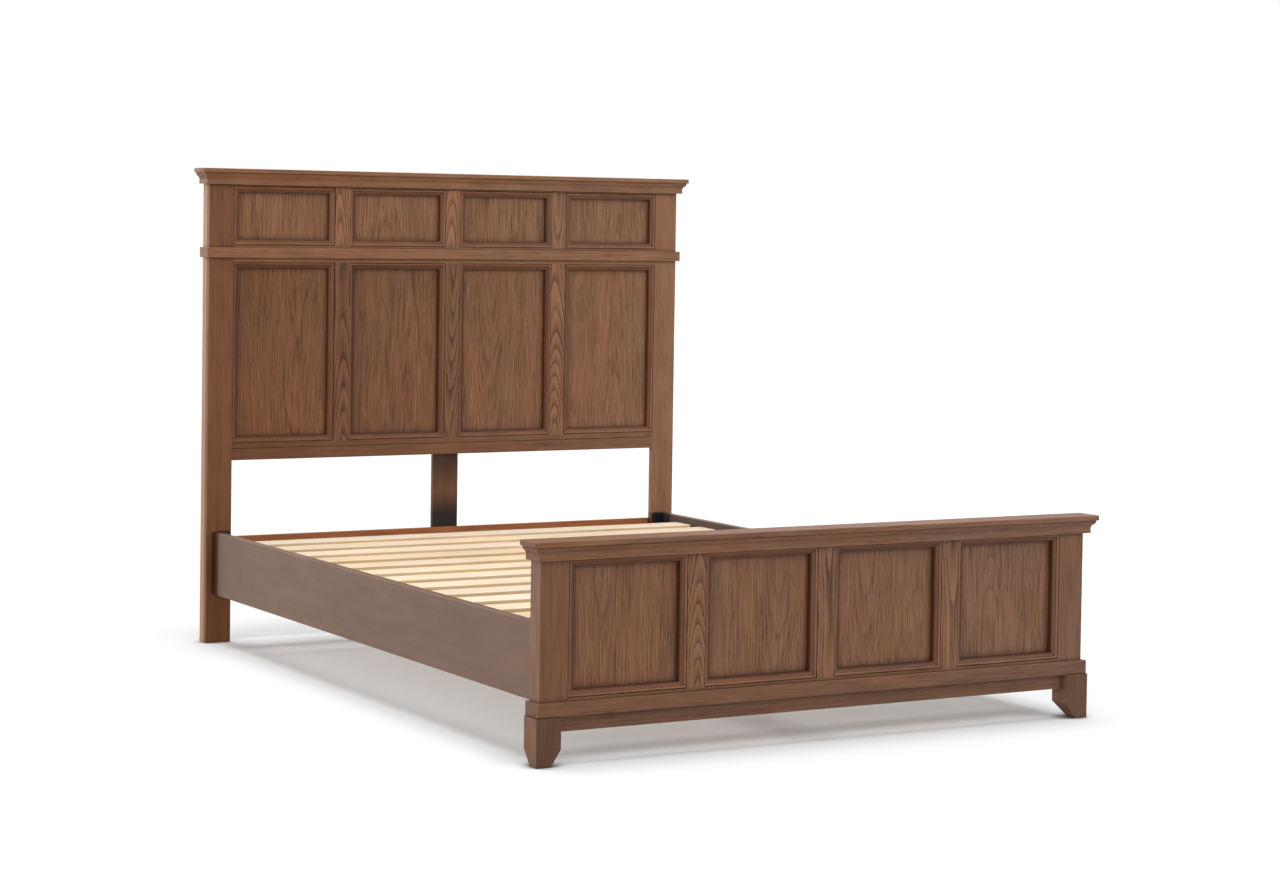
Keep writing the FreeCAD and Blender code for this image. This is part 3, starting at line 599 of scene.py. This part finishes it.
def plain_metal(name, colour, roughness, metallic):
    """Metal with fine unevenness in its finish."""
    material, g, shader = new_material(name, "ShaderNodeBsdfPrincipled")
    place = g.add("ShaderNodeTexCoord").outputs["Object"]
    speckle = g.noise(place, **SPECKLE)
    cloud = g.stretch(g.noise(place, **CLOUD), *CLOUD_SPAN, *CLOUD_SHADES)
    g.feed(shader.inputs["Base Color"], g.shade(colour, cloud))
    shader.inputs["Metallic"].default_value = metallic
    shader.inputs["Specular IOR Level"].default_value = METAL_SPECULAR
    smooth, rough = (roughness + part for part in SPECKLE_ROUGHNESS)
    g.feed(shader.inputs["Roughness"], g.stretch(speckle, *SPECKLE_SPAN, smooth, rough))
    g.feed(shader.inputs["Normal"], g.bump(speckle, strength=0.15, distance=0.0002))
    return material


def oak(name, seed, cut, shade=1.0, **settings):
    """Stained oak of the headboard or the footboard."""
    if name.startswith("footboard"):
        tints = FOOTBOARD_TINTS
    elif any(word in name for word in UPPER_WORDS):
        tints = UPPER_TINTS
    else:
        tints = LOWER_TINTS
    shade *= BOARD_SHADES.get(name, 1.0)
    return wood(name, seed, OAK, cut, tints=tints, shade=shade, **settings)


def pine(name, seed, axes, **settings):
    """Unfinished pine of the slats and what carries them."""
    return wood(name, seed, PINE, "pine", axes=axes, gloss=PINE_GLOSS, **settings)


def looks_of(name, seed):
    """Material for a node, chosen by its name."""
    if "muntin" in name:
        return oak(name, seed, "cathedral", glaze=0.6, worn=0.4)
    if "panel" in name:
        return oak(name, seed, "panel", glaze=0.60, reach=0.028)
    if "post_side" in name:
        return wood(name, seed, LIT_SIDE_OAK, "straight", axes="yxz", glaze=0.3, worn=0.3)
    if name.startswith("headboard_post"):
        return oak(name, seed, "straight", glaze=0.7, worn=0.3, extra=painted_shadow_beside_rail)
    if name.startswith("footboard_post"):
        return oak(name, seed, "straight", glaze=0.7, worn=0.3, extra=painted_side_light(POST_SIDE_TINT))
    if name.startswith("footboard_foot"):
        return oak(name, seed, "straight", shade=FOOT_SHADE, glaze=0.5, worn=0.4,
                   extra=painted_side_light(FOOT_SIDE_TINT))
    if name.endswith("mouldings"):
        return oak(name, seed, "long", axes="zyx", glaze=0.75, reach=0.008, worn=1.0,
                   centred=False, other_axes="xyz",
                   muntin=name.replace("mouldings", "muntin_2"))
    if "crown_moulding" in name or "belt" in name:
        return oak(name, seed, "long", axes="zyx", glaze=0.90, reach=0.007, worn=1.0,
                   centred=False, other_axes="zxy")
    if name.startswith("side_rail"):
        return wood(name, seed, RAIL_OAK, "calm", axes="zxy", glaze=0.3, worn=0.25,
                    extra=rail_painted_shade)
    if name == "headboard_centre_leg":
        return wood(name, seed, LEG_OAK, "straight", glaze=0.5, extra=leg_painted_shade)
    if name == "headboard_cross_rail":
        return wood(name, seed, CROSS_OAK, "long", axes="zyx", glaze=0.3)
    if name == "slats":
        return pine(name, seed, "yzx", centred=False, extra=slat_tones)
    if name.startswith("slat_cleat") or name == "centre_beam":
        return pine(name, seed, "zxy")
    if name == "footboard_cross_rail":
        return pine(name, seed, "zyx")
    if name == "support_leg_glides":
        return plain_metal(name, GLIDE_BLACK, 0.55, 0.0)
    if name.startswith("support_leg"):
        return pine(name, seed, "xyz")
    if name.endswith("_brackets"):
        return plain_metal(name, BLACK_STEEL, 0.5, 0.0)
    if name in ("bracket_bolts", "slat_screws"):
        return plain_metal(name, ZINC, 0.35, 1.0)
    # What is left is rails, crown caps and the apron.
    return oak(name, seed, "long", axes="zyx", glaze=0.7, worn=0.4)


def dress_all():
    """Give each CAD node its own material."""
    for index, name in enumerate(sorted(nodes)):
        material = looks_of(name, index + FIRST_SEED)
        for slot in nodes[name].material_slots:
            slot.material = material


# -------------------------------------------------------------------- studio
def make_camera():
    """Camera that sees the bed as the photograph does."""
    data = bpy.data.cameras.new("camera")
    data.sensor_width = SENSOR_WIDTH
    data.lens = FOCAL_PIXELS * SENSOR_WIDTH / IMAGE_WIDTH
    data.shift_x = (IMAGE_WIDTH / 2 - CENTRE_PIXEL[0]) / IMAGE_WIDTH
    data.shift_y = (CENTRE_PIXEL[1] - IMAGE_HEIGHT / 2) / IMAGE_WIDTH
    data.clip_end = CLIP_END
    camera = bpy.data.objects.new("camera", data)
    aim = Euler((math.radians(90 - CAMERA_DIP), 0.0, math.radians(CAMERA_TURN))).to_matrix()
    roll = Matrix.Rotation(math.radians(CAMERA_ROLL), 3, "Z")
    camera.matrix_world = Matrix.Translation(CAMERA_PLACE) @ (aim @ roll).to_4x4()
    bpy.context.scene.collection.objects.link(camera)
    bpy.context.scene.camera = camera


def make_sun(name, strength, angle, source):
    """Soft light that comes from the source's direction."""
    data = bpy.data.lights.new(name, "SUN")
    data.energy = strength
    data.angle = math.radians(angle)
    lamp = bpy.data.objects.new(name, data)
    lamp.rotation_euler = Vector(source).to_track_quat("Z", "Y").to_euler()
    bpy.context.scene.collection.objects.link(lamp)


def make_world():
    """Even light from all round, and white where the camera or a gloss sees past the floor."""
    world = bpy.data.worlds.new("studio")
    bpy.context.scene.world = world
    world.use_nodes = True
    world.node_tree.nodes.clear()
    g = Graph(world.node_tree)
    path = g.add("ShaderNodeLightPath").outputs
    rays = g.total(path["Is Camera Ray"], path["Is Glossy Ray"], path["Is Transmission Ray"])
    background = g.add("ShaderNodeBackground")
    background.inputs["Color"].default_value = (1.0, 1.0, 1.0, 1.0)
    g.feed(background.inputs["Strength"], g.stretch(rays, 0.0, 1.0, AMBIENT, 1.0))
    output = g.add("ShaderNodeOutputWorld")
    g.feed(output.inputs["Surface"], background.outputs[0])


def make_floor():
    """Plain pale floor, darker to the light that bounces off it than to the camera, with a painted
    contact shadow.
    """
    mesh = bpy.data.meshes.new("floor")
    far = FLOOR_HALF
    corners = [(-far, -far, 0.0), (far, -far, 0.0), (far, far, 0.0), (-far, far, 0.0)]
    mesh.from_pydata(corners, [], [(0, 1, 2, 3)])
    floor = bpy.data.objects.new("floor", mesh)
    bpy.context.scene.collection.objects.link(floor)
    material, g, diffuse = new_material("floor", "ShaderNodeBsdfDiffuse")
    # Painted contact shadow round each foot.
    contact = g.stretch(g.openness(CONTACT_REACH), *CONTACT_OPEN, 1.0, CONTACT_SHADE)
    seen = g.add("ShaderNodeLightPath").outputs["Is Camera Ray"]
    colour = g.blend(seen, FLOOR_BOUNCE, g.shade(FLOOR_SEEN, contact))
    g.feed(diffuse.inputs["Color"], colour)
    mesh.materials.append(material)


dress_all()
make_camera()
make_world()
for lamp_settings in LAMPS:
    make_sun(*lamp_settings)
make_floor()

bpy.context.scene.view_settings.view_transform = "Standard"
